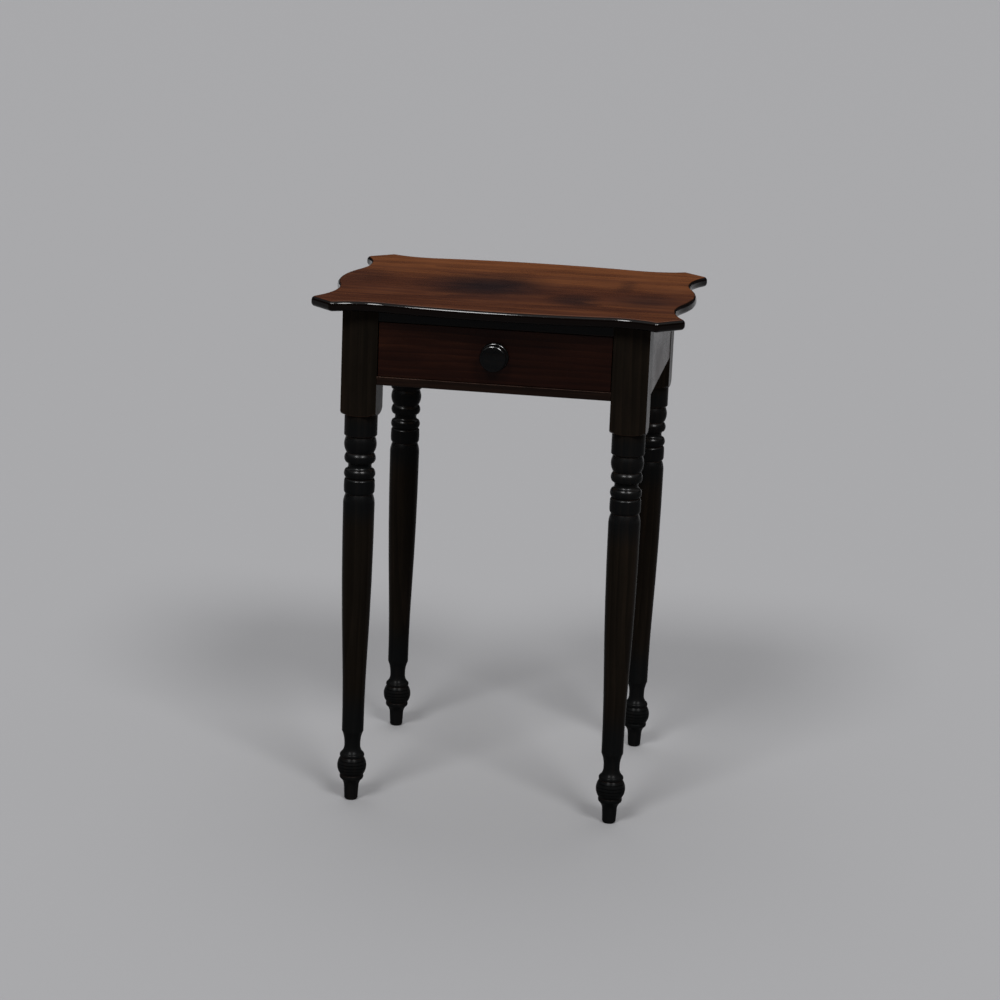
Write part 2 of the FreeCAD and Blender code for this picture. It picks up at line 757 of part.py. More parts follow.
for side_name, side in SIDES:
    runner = add_body(f"{side_name}_runner")
    runner_outline = strip_corners(side)
    runner_outline = add_sketch(runner, "RunnerOutline", "XY_Plane", runner_outline, "plan.blade_top")
    add_extrusion(runner, "Pad", "Runner", runner_outline, "size.runner_thickness", backward=True)

    kicker = add_body(f"{side_name}_kicker")
    kicker_outline = strip_corners(side)
    kicker_outline = add_sketch(kicker, "KickerOutline", "XY_Plane", kicker_outline, "plan.opening_top")
    add_extrusion(kicker, "Pad", "Kicker", kicker_outline, "size.upper_rail_thickness")
    cut_screw_holes(kicker, KICKER_SCREWS[side])

    low_x, high_x = stretch_on_side(side, "plan.inner_x", "plan.apron_inner_x")
    guide = add_box(f"{side_name}_guide", (low_x, "-plan.strip_end_y", "plan.blade_top"),
                    (high_x, "plan.strip_end_y", "plan.blade_top + size.guide_height"))
    keep(guide, f"{side_name}_guide")


# Drawer stops and glue blocks

stops = []
blocks = []
for side_name, side in SIDES:
    low_x, high_x = stretch_on_side(side, "plan.stop_x - size.stop_width / 2",
                                    "plan.stop_x + size.stop_width / 2")
    stop_front = "plan.drawer_root + size.slide_clearance"
    stop_back = f"{stop_front} + size.stop_depth"
    stops.append(add_box(f"{side_name}_stop", (low_x, stop_front, "plan.blade_top"),
                         (high_x, stop_back, "plan.blade_top + size.stop_thickness")))
    low_x, high_x = stretch_on_side(side, "(size.block_spacing - size.block_length) / 2",
                                    "(size.block_spacing + size.block_length) / 2")
    block_front = "plan.apron_inner_y - size.block_size"
    blocks.append(add_box(f"{side_name}_block", (low_x, block_front, "plan.under_top - size.block_size"),
                          (high_x, "plan.apron_inner_y", "plan.under_top")))
group("drawer_stops", stops)
group("glue_blocks", blocks)


# Screws of the top


def build_screw(index, x, y):
    """A countersunk screw that points up, with its head flush with the drawer opening."""
    shank = doc.addObject("Part::Cylinder", f"screw_{index}_shank")
    shank.setExpression("Radius", "size.screw_radius")
    shank.setExpression("Height", "size.screw_length")
    head = doc.addObject("Part::Cone", f"screw_{index}_head")
    head.setExpression("Radius1", "size.screw_head_radius")
    head.setExpression("Radius2", "size.screw_radius")
    head.setExpression("Height", "size.screw_head_height")
    for piece in (shank, head):
        bind_place(piece, (x, y, "plan.opening_top"))
    screw = doc.addObject("Part::MultiFuse", f"screw_{index}")
    screw.Shapes = [shank, head]
    return screw


group("top_screws", [build_screw(index, x, y) for index, (x, y) in enumerate(TOP_SCREWS, start=1)])


# Drawer, drawn from its own lower edge up


def tail_corners(count, low, high, root, tip, gap="0"):
    """The corners of a row of dovetails from low to high, between root and tip, widened by a gap."""
    pitch = f"(({high}) - ({low})) / {count}"
    tails = []
    for index in range(count):
        middle = f"{low} + {pitch} * ({2 * index + 1} / 2)"
        half_root = f"({pitch} * size.tail_root_share / 2 + {gap})"
        half_tip = f"({pitch} * size.tail_tip_share / 2 + {gap})"
        tails.append([
            (root, f"{middle} - {half_root}", None),
            (tip, f"{middle} - {half_tip}", None),
            (tip, f"{middle} + {half_tip}", None),
            (root, f"{middle} + {half_root}", None),
        ])
    return tails


FRONT_TIP = "plan.drawer_face + size.drawer_front_lap"
FRONT_ROW = (FRONT_TAILS, "0", "plan.side_height")
BACK_ROW = (BACK_TAILS, "plan.back_bottom", "plan.back_top")


def build_drawer_side(label, side):
    """A side with tails at both ends and a groove for the bottom along its inner face."""
    board = add_body(label)
    front_tails = sum(tail_corners(*FRONT_ROW, "plan.drawer_root", FRONT_TIP), [])
    back_tails = sum(tail_corners(*BACK_ROW, "plan.back_root", "plan.drawer_end"), [])
    outline = (
        [("plan.drawer_root", "0", None), ("plan.drawer_end", "0", None)]
        + [("plan.drawer_end", "plan.groove_top", None), ("plan.back_root", "plan.groove_top", None)]
        + back_tails
        + [("plan.back_root", "plan.side_height", None), ("plan.drawer_root", "plan.side_height", None)]
        + front_tails[::-1]
    )
    low_x, high_x = stretch_on_side(side, "plan.side_inner_x", "plan.drawer_half")
    sketch = add_sketch(board, "SideOutline", "YZ_Plane", outline, low_x)
    add_extrusion(board, "Pad", "Side", sketch, "size.drawer_side_thickness")
    low_x, high_x = stretch_on_side(side, "plan.side_inner_x - size.cut_overrun",
                                    "plan.side_inner_x + size.groove_depth")
    cut_box(board, "BottomGroove", (low_x, f"{FRONT_TIP} - size.cut_overrun", "plan.groove_bottom"),
            (high_x, "plan.drawer_end + size.cut_overrun", "plan.groove_top"))
    bind_place(board, ("0", "0", "plan.drawer_base"))


for side_name, side in SIDES:
    build_drawer_side(f"drawer_{side_name}_side", side)


def cut_sockets(board, row, root, tip):
    """Cut the sockets of a row of tails out of both ends of a board."""
    inner = "plan.side_inner_x - size.joint_clearance"
    outer = "plan.drawer_half + size.cut_overrun"
    for side_name, side in SIDES:
        low_x, high_x = stretch_on_side(side, inner, outer)
        for tail in tail_corners(*row, root, tip, "size.joint_clearance"):
            sketch = add_sketch(board, "Socket", "YZ_Plane", tail, low_x)
            add_extrusion(board, "Pocket", "SocketCut", sketch, f"({outer}) - ({inner})", backward=True)


drawer_front = add_body("drawer_front")
front_outline = rectangle("-plan.drawer_half", "plan.drawer_face", "plan.drawer_half", "plan.drawer_root")
front_outline = add_sketch(drawer_front, "FrontOutline", "XY_Plane", front_outline)
add_extrusion(drawer_front, "Pad", "FrontBoard", front_outline, "plan.front_height")
cut_sockets(drawer_front, FRONT_ROW, "plan.drawer_root", f"{FRONT_TIP} - size.joint_clearance")
cut_box(drawer_front, "BottomGroove",
        ("-plan.side_inner_x", "plan.drawer_root - size.groove_depth", "plan.groove_bottom"),
        ("plan.side_inner_x", "plan.drawer_root + size.cut_overrun", "plan.groove_top"))
knob_hole = drawer_front.newObject("PartDesign::SubtractiveCylinder", "KnobHole")
knob_hole.Placement.Rotation = FreeCAD.Rotation(FreeCAD.Vector(1, 0, 0), -90)
knob_hole.setExpression("Radius", "size.knob_tenon_radius + size.joint_clearance")
knob_hole.setExpression("Height", "size.drawer_front_thickness + 2 * size.cut_overrun")
bind_place(knob_hole, ("0", "plan.drawer_face - size.cut_overrun", "plan.front_height / 2"))
bind_place(drawer_front, ("0", "0", "plan.drawer_base"))

drawer_back = add_body("drawer_back")
back_outline = rectangle("-plan.drawer_half", "plan.back_root", "plan.drawer_half", "plan.drawer_end")
back_outline = add_sketch(drawer_back, "BackOutline", "XY_Plane", back_outline, "plan.back_bottom")
add_extrusion(drawer_back, "Pad", "BackBoard", back_outline, "plan.back_top - plan.back_bottom")
cut_sockets(drawer_back, BACK_ROW, "plan.back_root", "plan.drawer_end")
NAIL_LINE = "(plan.back_root + plan.drawer_end) / 2"
NAIL_PLACES = [("-size.nail_spacing", NAIL_LINE), ("0", NAIL_LINE), ("size.nail_spacing", NAIL_LINE)]
NAIL_BORE = "size.nail_radius + size.joint_clearance"
derive("nail_top", "size.groove_height + size.nail_length")
doc.recompute()
for x, y in NAIL_PLACES:
    cut_bore(drawer_back, "NailBore", (x, y, "0"), NAIL_BORE, "plan.nail_top + size.joint_clearance")
bind_place(drawer_back, ("0", "0", "plan.drawer_base"))

drawer_bottom = add_body("drawer_bottom")
panel_half = "plan.side_inner_x + size.groove_depth - size.joint_clearance"
panel_front = "plan.drawer_root - size.groove_depth + size.joint_clearance"
panel_outline = rectangle(f"-({panel_half})", panel_front, panel_half, "plan.drawer_end")
panel_outline = add_sketch(drawer_bottom, "PanelOutline", "XY_Plane", panel_outline, "size.groove_height")
add_extrusion(drawer_bottom, "Pad", "Panel", panel_outline, "size.drawer_bottom_thickness")
for x, y in NAIL_PLACES:
    cut_bore(drawer_bottom, "NailBore", (x, y, "0"), NAIL_BORE, "plan.nail_top")
bind_place(drawer_bottom, ("0", "0", "plan.drawer_base"))


def build_nail(index, x, y):
    """A nail that points up, with its head under the drawer bottom."""
    shank = doc.addObject("Part::Cylinder", f"nail_{index}_shank")
    shank.setExpression("Radius", "size.nail_radius")
    shank.setExpression("Height", "size.nail_length")
    bind_place(shank, (x, y, "plan.drawer_base + size.groove_height"))
    head = doc.addObject("Part::Cylinder", f"nail_{index}_head")
    head.setExpression("Radius", "size.nail_head_radius")
    head.setExpression("Height", "size.nail_head_height")
    bind_place(head, (x, y, "plan.drawer_base + size.groove_height - size.nail_head_height"))
    nail = doc.addObject("Part::MultiFuse", f"nail_{index}")
    nail.Shapes = [shank, head]
    return nail


group("drawer_nails", [build_nail(index, x, y) for index, (x, y) in enumerate(NAIL_PLACES, start=1)])


# Knob, turned about its own axis with the tenon up, then laid with the head to the front

knob = add_body("knob")
knob_corners = [
    ("0", "0", "plan.knob_dome_swell"),
    ("size.knob_dome_radius", "size.knob_dome_length", "size.knob_edge_swell"),
    ("size.knob_rim_radius", "plan.knob_rim_at", "size.knob_rim_swell"),
    ("size.knob_rim_radius", "plan.knob_head_at", "size.knob_head_swell"),
    ("size.knob_neck_radius", "plan.knob_neck_at", "-size.knob_neck_hollow"),
    ("size.knob_neck_radius", "plan.knob_base_at", None),
    ("size.knob_base_edge_radius", "plan.knob_band_at", "size.knob_band_swell"),
    ("size.knob_base_radius", "plan.knob_seat_at", None),
    ("size.knob_tenon_radius", "plan.knob_seat_at", None),
    ("size.knob_tenon_radius", "plan.knob_seat_at + size.drawer_front_thickness", None),
    ("0", "plan.knob_seat_at + size.drawer_front_thickness", None),
]
add_turning(knob, "Revolution", "KnobTurning", add_sketch(knob, "KnobOutline", "XZ_Plane", knob_corners))
knob.Placement.Rotation = FreeCAD.Rotation(FreeCAD.Vector(1, 0, 0), -90)
bind_place(knob, ("0", "plan.drawer_face - plan.knob_seat_at", "plan.knob_z"))


# Check every object, then write one file for each piece

doc.recompute()
broken = [piece.Name for piece in doc.Objects if "Invalid" in piece.State or "Error" in piece.State]
broken += [piece.Label for piece in subparts if piece.Shape.isNull() or not piece.Shape.isValid()]
if broken:
    raise RuntimeError(f"these objects did not build: {broken}")

os.makedirs("parts", exist_ok=True)
for piece in subparts:
    piece.Shape.exportStep(f"parts/{piece.Label}.step")
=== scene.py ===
import json
import math
from dataclasses import dataclass, replace
import bmesh
import bpy
from mathutils import Matrix, Vector

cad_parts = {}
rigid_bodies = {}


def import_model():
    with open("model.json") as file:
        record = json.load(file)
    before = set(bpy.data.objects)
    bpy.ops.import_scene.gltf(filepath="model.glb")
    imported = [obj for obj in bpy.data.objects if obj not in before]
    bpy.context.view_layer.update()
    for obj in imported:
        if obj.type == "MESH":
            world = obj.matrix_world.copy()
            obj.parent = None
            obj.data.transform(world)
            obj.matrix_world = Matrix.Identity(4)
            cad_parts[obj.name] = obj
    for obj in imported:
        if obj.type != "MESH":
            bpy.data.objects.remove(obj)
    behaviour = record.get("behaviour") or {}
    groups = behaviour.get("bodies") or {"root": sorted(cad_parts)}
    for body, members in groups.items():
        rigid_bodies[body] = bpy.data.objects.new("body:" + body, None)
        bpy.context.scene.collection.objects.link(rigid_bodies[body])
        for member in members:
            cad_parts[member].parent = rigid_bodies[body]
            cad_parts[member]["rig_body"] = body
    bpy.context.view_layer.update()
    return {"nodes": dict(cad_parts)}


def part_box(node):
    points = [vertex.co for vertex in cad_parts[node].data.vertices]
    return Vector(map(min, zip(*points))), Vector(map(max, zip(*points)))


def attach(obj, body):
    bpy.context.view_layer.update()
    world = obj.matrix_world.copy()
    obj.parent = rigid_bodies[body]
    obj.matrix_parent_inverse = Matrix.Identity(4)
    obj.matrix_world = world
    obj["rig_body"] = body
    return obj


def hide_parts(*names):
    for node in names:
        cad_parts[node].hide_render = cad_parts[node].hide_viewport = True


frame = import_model()

# The looks of a one-drawer stand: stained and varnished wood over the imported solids.
# Metres, in the frame of the solids. The drawer faces -Y.

# Camera, as found from the photograph, with its sensor and lens in millimetres
CAMERA_PLACE = Vector((0.5046, -3.5509, 1.2880))
CAMERA_YAW = math.radians(8.275)
CAMERA_PITCH = math.radians(13.900)
CAMERA_ROLL = math.radians(2.307)
CAMERA_SENSOR = 36.0
CAMERA_LENS = 94.98

# How far the camera sees
CAMERA_REACH = 160.0

# Studio
FLOOR_SIDE = 80.0
FLOOR_COLOUR = (0.45, 0.45, 0.46)
FLOOR_ROUGHNESS = 0.9
FLOOR_GLOSS = 0.1
KEY_TURN = math.radians(28)
KEY_RISE = math.radians(46)
KEY_SPREAD = math.radians(18)
KEY_STRENGTH = 1.05
BACK_TURN = math.radians(180)
BACK_RISE = math.radians(62)
BACK_SPREAD = math.radians(50)
BACK_STRENGTH = 0.45
SKY_LOW = (0.013, 0.013, 0.014)
SKY_HIGH = (0.50, 0.50, 0.51)
SKY_LOW_PLACE = 0.35
SKY_HIGH_PLACE = 0.95

# Materials

# Sockets of the mixing node that only a number tells apart, and the fourth number of a colour
MIX_SHARE = 0
MIX_FIRST_COLOUR = 6
MIX_SECOND_COLOUR = 7
MIX_COLOUR_OUT = 2
OPAQUE = 1.0


@dataclass(frozen=True)
class Cloud:
    """Cloudy noise: features to the metre along the grain and across it, and how they break up."""

    scales: tuple
    detail: float
    roughness: float
    distortion: float = 0.0


class Finish:
    """A material in the making: short calls add its nodes and join them."""

    def __init__(self, name):
        self.material = bpy.data.materials.new(name)
        self.material.use_nodes = True
        self.nodes = self.material.node_tree.nodes
        self.links = self.material.node_tree.links
        self.shader = self.nodes["Principled BSDF"]

    def feed(self, socket, value):
        """Join a socket to an output, or set it to a constant."""
        if isinstance(value, bpy.types.NodeSocket):
            self.links.new(value, socket)
        elif socket.type == "RGBA":
            socket.default_value = (*value, OPAQUE)
        else:
            socket.default_value = value

    def add(self, kind, inputs=None, **settings):
        """Add a node of a kind, with its inputs by name or number."""
        node = self.nodes.new("ShaderNode" + kind)
        for name, value in settings.items():
            setattr(node, name, value)
        for name, value in (inputs or {}).items():
            self.feed(node.inputs[name], value)
        return node

    def math(self, operation, first, second=0.0):
        """The number that an operation makes of one or two others."""
        return self.add("Math", {0: first, 1: second}, operation=operation).outputs[0]

    def vector(self, operation, first, second=(0.0, 0.0, 0.0)):
        """A node for an operation on vectors. Its first output is a vector and its second a number."""
        return self.add("VectorMath", {0: first, 1: second}, operation=operation)

    def mix(self, share, first, second):
        """A colour between two others: the first at a share of 0, the second at 1."""
        inputs = {MIX_SHARE: share, MIX_FIRST_COLOUR: first, MIX_SECOND_COLOUR: second}
        return self.add("Mix", inputs, data_type="RGBA").outputs[MIX_COLOUR_OUT]

    def fade(self, value, start, stop, low=0.0, high=1.0):
        """A smooth step of a value, from low at start to high at stop."""
        inputs = {"Value": value, "From Min": start, "From Max": stop, "To Min": low, "To Max": high}
        return self.add("MapRange", inputs, interpolation_type="SMOOTHSTEP").outputs[0]

    def ramp(self, value, tones, places):
        """A colour for a value, from tones at their places."""
        node = self.add("ValToRGB", {"Fac": value})
        elements = node.color_ramp.elements
        for place in places[1:-1]:
            elements.new(place)
        for element, place, tone in zip(elements, places, tones):
            element.position = place
            element.color = (*tone, OPAQUE)
        return node.outputs[0]

    def noise(self, place, cloud):
        """Noise from 0 to 1."""
        inputs = {"Vector": self.vector("MULTIPLY", place, cloud.scales).outputs[0], "Scale": 1.0,
                  "Detail": cloud.detail, "Roughness": cloud.roughness, "Distortion": cloud.distortion}
        return self.add("TexNoise", inputs).outputs[0]

    def bump(self, height, distance, strength, below=None):
        """A relief, over another one if there is one below."""
        inputs = {"Height": height, "Distance": distance, "Strength": strength}
        if below is not None:
            inputs["Normal"] = below
        return self.add("Bump", inputs).outputs[0]

    def surface(self, **inputs):
        """Set the shader's own sockets, named in lower case with underscores."""
        sockets = {socket.name.lower().replace(" ", "_"): socket for socket in self.shader.inputs}
        for name, value in inputs.items():
            self.feed(sockets[name], value)
        return self.material


# Woods

@dataclass(frozen=True)
class Wood:
    """The look of one wood. Colours are linear, a share runs from 0 to 1, and relief is a height.

    Its roughness lies between polished and dull.
    """

    tones: tuple
    broad_share: float
    band_share: float
    mottle_share: float
    ring_share: float
    streak_share: float
    pore_share: float
    polished: float
    dull: float
    relief: float
    gloss: float
    worn: tuple = (0.0, 0.0, 0.0)
    worn_share: float = 0.0


TOP_WOOD = Wood(
    tones=((0.029, 0.0084, 0.0061), (0.082, 0.0260, 0.0124), (0.188, 0.0635, 0.0216)),
    broad_share=0.26, band_share=0.28, mottle_share=0.18, ring_share=0.10, streak_share=0.18,
    pore_share=0.40, polished=0.22, dull=0.34, relief=0.00012, gloss=0.06,
)
CASE_WOOD = Wood(
    tones=((0.0032, 0.0008, 0.0006), (0.0139, 0.0038, 0.0020), (0.0400, 0.0124, 0.0056)),
    broad_share=0.32, band_share=0.22, mottle_share=0.18, ring_share=0.08, streak_share=0.20,
    pore_share=0.45, polished=0.20, dull=0.32, relief=0.00010, gloss=0.065,
    worn=(0.070, 0.027, 0.012), worn_share=0.60,
)
TURNED_WOOD = Wood(
    tones=((0.0037, 0.0029, 0.0022), (0.0080, 0.0061, 0.0044), (0.0168, 0.0115, 0.0078)),
    broad_share=0.28, band_share=0.20, mottle_share=0.22, ring_share=0.10, streak_share=0.20,
    pore_share=0.40, polished=0.17, dull=0.28, relief=0.00010, gloss=0.012,
    worn=(0.055, 0.023, 0.011), worn_share=0.40,
)
EBONISED_WOOD = Wood(
    tones=((0.0023, 0.0024, 0.0025), (0.0036, 0.0038, 0.0040), (0.0075, 0.0056, 0.0048)),
    broad_share=0.30, band_share=0.20, mottle_share=0.10, ring_share=0.12, streak_share=0.28,
    pore_share=0.30, polished=0.15, dull=0.26, relief=0.00008, gloss=0.06,
)
INSIDE_WOOD = Wood(
    tones=((0.150, 0.078, 0.034), (0.300, 0.180, 0.090), (0.420, 0.275, 0.150)),
    broad_share=0.24, band_share=0.12, mottle_share=0.10, ring_share=0.30, streak_share=0.24,
    pore_share=0.20, polished=0.62, dull=0.82, relief=0.00030, gloss=0.40,
    worn=(0.480, 0.340, 0.200), worn_share=0.40,
)
# The upper rail gets the near-black tones of ebonised wood as painted shade: they stand in for the shadow
# that the overhanging top casts on it.
RAIL_PAINTED_SHADE_WOOD = replace(CASE_WOOD, tones=EBONISED_WOOD.tones)
BLADE_WOOD = replace(
    CASE_WOOD,
    tones=((0.0030, 0.0013, 0.0010), (0.0085, 0.0040, 0.0025), (0.0212, 0.0095, 0.0055)),
    # The pale worn tone on the blade's upper arris is partly rubbed wear and partly a painted highlight
    # where the arris catches light from above.
    worn=(0.200, 0.110, 0.080), worn_share=0.90,
)
TONE_PLACES = (0.30, 0.50, 0.70)
PORE = (0.006, 0.003, 0.002)

# Grain: the order of axes that puts the grain first, and the clouds that make its figure
GRAIN_ORDER = {"x": "XYZ", "y": "YXZ", "z": "ZXY"}
BROAD = Cloud(scales=(1.6, 13.0, 13.0), detail=3.0, roughness=0.55, distortion=0.6)
BAND = Cloud(scales=(6.0, 85.0, 85.0), detail=3.0, roughness=0.55)
STREAK = Cloud(scales=(9.0, 380.0, 380.0), detail=4.0, roughness=0.60)
MOTTLE = Cloud(scales=(9.0, 14.0, 14.0), detail=4.0, roughness=0.62)
PORES = Cloud(scales=(70.0, 1500.0, 1500.0), detail=2.0, roughness=0.55)
PORE_START = 0.58
PORE_FULL = 0.72
MOTTLE_LOW = 0.25
MOTTLE_MIDDLE = 0.5
MOTTLE_HIGH = 0.75

# Growth rings, round a pith that lies outside every piece
RING_SCALE = 34.0
RING_STRETCH = (0.18, 1.0, 1.0)
RING_DISTORTION = 5.0
RING_DETAIL = 2.0
RING_DETAIL_SCALE = 0.5
RING_DETAIL_ROUGHNESS = 0.5
PITH_OFFSET = (0.0, 0.021, 0.047)

# How far the figure may shift from one piece to the next
BOARD_SHIFT = (3.1, 1.7, 2.3)

# Rubbed arrises: how far in the rubbing reaches, and the patches that it leaves
WEAR_REACH = 0.0016
WEAR_SAMPLES = 6
WEAR_START = 0.985
WEAR_FULL = 0.90
WEAR_PATCH_START = 0.34
WEAR_PATCH_FULL = 0.60

# Relief
STREAK_RELIEF_SHARE = 0.35
PORE_RELIEF_SHARE = 0.30
GROOVE_RELIEF_SHARE = 1.0
GROOVE_DEPTH = 0.0011


class WoodFinish(Finish):
    """A wood in the making, with its grain along one axis."""

    def __init__(self, name, axis, wood):
        super().__init__(name)
        self.wood = wood
        self.place = self.add("TexCoord").outputs["Object"]
        self.parts = self.add("SeparateXYZ", {"Vector": self.place}).outputs
        turned = {index: self.parts[letter] for index, letter in enumerate(GRAIN_ORDER[axis])}
        along = self.add("CombineXYZ", turned).outputs[0]
        chance = self.add("ObjectInfo").outputs["Random"]
        shift = self.vector("MULTIPLY", chance, BOARD_SHIFT).outputs[0]
        own = self.vector("ADD", along, shift).outputs[0]
        self.broad = self.noise(own, BROAD)
        self.band = self.noise(own, BAND)
        self.streak = self.noise(own, STREAK)
        self.mottle = self.noise(own, MOTTLE)
        self.pore = self.fade(self.noise(own, PORES), PORE_START, PORE_FULL)
        self.ring = self.growth_rings(along)

    def growth_rings(self, along):
        """Rings from 0 to 1 that run along the grain."""
        off_pith = self.vector("ADD", along, PITH_OFFSET).outputs[0]
        inputs = {"Vector": self.vector("MULTIPLY", off_pith, RING_STRETCH).outputs[0],
                  "Scale": RING_SCALE, "Distortion": RING_DISTORTION, "Detail": RING_DETAIL,
                  "Detail Scale": RING_DETAIL_SCALE, "Detail Roughness": RING_DETAIL_ROUGHNESS}
        rings = self.add("TexWave", inputs, wave_type="RINGS", rings_direction="X", wave_profile="SAW")
        return rings.outputs["Fac"]

    def figure(self):
        """One number for the ramp of tones, from the shares of its parts."""
        wood = self.wood
        total = self.math("MULTIPLY", self.broad, wood.broad_share)
        for part, share in ((self.band, wood.band_share), (self.mottle, wood.mottle_share),
                            (self.ring, wood.ring_share), (self.streak, wood.streak_share)):
            total = self.math("ADD", total, self.math("MULTIPLY", part, share))
        return total

    def toned(self, figure):
        """The colour of a figure, with its open pores."""
        colour = self.ramp(figure, self.wood.tones, TONE_PLACES)
        return self.mix(self.math("MULTIPLY", self.pore, self.wood.pore_share), colour, PORE)

    def rubbed(self, colour):
        """The colour with the finish rubbed off the arrises, in patches."""
        rounded = self.add("Bevel", {"Radius": WEAR_REACH}, samples=WEAR_SAMPLES).outputs[0]
        normal = self.add("NewGeometry").outputs["Normal"]
        likeness = self.vector("DOT_PRODUCT", rounded, normal).outputs["Value"]
        edge = self.fade(likeness, WEAR_START, WEAR_FULL)
        patches = self.fade(self.mottle, WEAR_PATCH_START, WEAR_PATCH_FULL, 0.0, self.wood.worn_share)
        return self.mix(self.math("MULTIPLY", edge, patches), colour, self.wood.worn)

    def roughness(self):
        """Polished to dull, in patches."""
        return self.fade(self.mottle, MOTTLE_LOW, MOTTLE_HIGH, self.wood.polished, self.wood.dull)

    def facing(self, axis, start, full, most=1.0):
        """A share that follows how far the surface faces along an axis: none at start, most at full."""
        normal = self.add("NewGeometry").outputs["Normal"]
        along = self.add("SeparateXYZ", {"Vector": normal}).outputs[axis]
        return self.fade(along, start, full, 0.0, most)

    def varnished(self, colour, roughness, grooves=None, **more):
        """The finished material, with streaks, pores and any scribed grooves in its relief."""
        streaks = self.bump(self.streak, self.wood.relief, STREAK_RELIEF_SHARE)
        filled = self.math("SUBTRACT", 1.0, self.pore)
        normal = self.bump(filled, self.wood.relief, PORE_RELIEF_SHARE, streaks)
        if grooves is not None:
            uncut = self.math("SUBTRACT", 1.0, grooves)
            normal = self.bump(uncut, GROOVE_DEPTH, GROOVE_RELIEF_SHARE, normal)
        return self.surface(base_color=colour, roughness=roughness, normal=normal,
                            specular_ior_level=self.wood.gloss, **more)


# Boards

# Bare wood behind the drawer front, by how far it faces the rear
BARE_START = 0.5
BARE_FULL = 0.9


def wood_finish(name, axis, wood):
    """A plain board: figure, pores and rubbed arrises."""
    finish = WoodFinish(name, axis, wood)
    return finish.varnished(finish.rubbed(finish.toned(finish.figure())), finish.roughness())


def drawer_front_finish(name):
    """The drawer front: stained on its face and bare behind."""
    finish = WoodFinish(name, "x", CASE_WOOD)
    figure = finish.figure()
    stained = finish.rubbed(finish.toned(figure))
    bare = finish.ramp(figure, INSIDE_WOOD.tones, TONE_PLACES)
    colour = finish.mix(finish.facing("Y", BARE_START, BARE_FULL), stained, bare)
    return finish.varnished(colour, finish.roughness())


def blade_finish(name):
    """The blade under the drawer: its upper arris is pale, partly rubbed wear and partly a painted
    highlight of light from above.
    """
    finish = WoodFinish(name, "x", BLADE_WOOD)
    colour = finish.toned(finish.figure())
    lowest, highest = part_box("drawer_blade")
    middle = (lowest.z + highest.z) / 2
    upper_wear_and_highlight = finish.fade(finish.parts["Z"], middle, highest.z)
    return finish.varnished(finish.mix(upper_wear_and_highlight, colour, finish.rubbed(colour)), finish.roughness())


# Top

@dataclass(frozen=True)
class Mark:
    """A dark patch on the top: its middle, its reach along X and Y, and its depth from 0 to 1."""

    middle: tuple
    reach: tuple
    depth: float


TOP_MARKS = (
    Mark(middle=(-0.036, -0.018), reach=(0.100, 0.120), depth=0.92),
    Mark(middle=(0.090, -0.092), reach=(0.042, 0.058), depth=0.66),
    Mark(middle=(0.185, -0.066), reach=(0.055, 0.062), depth=0.55),
    # A painted reflection: a narrow dark streak reflected in the polished top.
    Mark(middle=(0.146, 0.050), reach=(0.014, 0.065), depth=0.40),
    Mark(middle=(-0.215, 0.010), reach=(0.042, 0.070), depth=0.30),
)
TOP_DARK_PATCH = (0.0137, 0.0085, 0.0096)

# Outline of a mark, in shares of its reach: how uneven it is, where it starts and where it is full
MARK_WOBBLE = 0.9
MARK_RIM = 1.25
MARK_HEART = 0.10

# The lighter rear of the top, by place along Y
REAR_LIGHT_START = -0.06
REAR_LIGHT_FULL = 0.20
REAR_LIGHT_SHARE = 0.17

# The dark edge of the top, by how far it faces up
TOP_EDGE = (0.0034, 0.0019, 0.0015)
EDGE_START = 0.97
EDGE_FULL = 0.80
EDGE_POLISH = 0.14

# The part of the edge that hands have polished, by how far it faces up
HANDLED_LOW = 0.22
HANDLED_LOW_FULL = 0.42
HANDLED_HIGH = 0.78
HANDLED_HIGH_FULL = 0.62
HANDLED_COAT = 1.0
HANDLED_ROUGHNESS = 0.08


def top_marks(finish):
    """Dark patches with soft, uneven edges; the narrow one at the rear right is a painted reflection of a
    dark streak.
    """
    total = None
    for mark in TOP_MARKS:
        reach_x, reach_y = mark.reach
        offset = finish.vector("SUBTRACT", finish.place, (*mark.middle, 0.0)).outputs[0]
        spread = finish.vector("MULTIPLY", offset, (1.0 / reach_x, 1.0 / reach_y, 0.0)).outputs[0]
        distance = finish.vector("LENGTH", spread).outputs["Value"]
        uneven = finish.math("SUBTRACT", finish.mottle, MOTTLE_MIDDLE)
        wobble = finish.math("MULTIPLY", uneven, MARK_WOBBLE)
        dark_patch = finish.fade(finish.math("ADD", distance, wobble), MARK_RIM, MARK_HEART, 0.0, mark.depth)
        total = dark_patch if total is None else finish.math("MAXIMUM", total, dark_patch)
    return total


def top_finish(name):
    """The polished top: lighter to the rear, with dark marks and an almost black edge."""
    finish = WoodFinish(name, "x", TOP_WOOD)
    rear = finish.fade(finish.parts["Y"], REAR_LIGHT_START, REAR_LIGHT_FULL, 0.0, REAR_LIGHT_SHARE)
    colour = finish.toned(finish.math("ADD", finish.figure(), rear))
    colour = finish.mix(top_marks(finish), colour, TOP_DARK_PATCH)
    edge = finish.facing("Z", EDGE_START, EDGE_FULL)
    colour = finish.mix(edge, colour, TOP_EDGE)
    polish = finish.math("MULTIPLY", edge, EDGE_POLISH)
    handled = finish.math("MULTIPLY", finish.facing("Z", HANDLED_LOW, HANDLED_LOW_FULL, HANDLED_COAT),
                          finish.facing("Z", HANDLED_HIGH, HANDLED_HIGH_FULL))
    return finish.varnished(colour, finish.math("SUBTRACT", finish.roughness(), polish),
                            coat_weight=handled, coat_roughness=HANDLED_ROUGHNESS)


# Legs

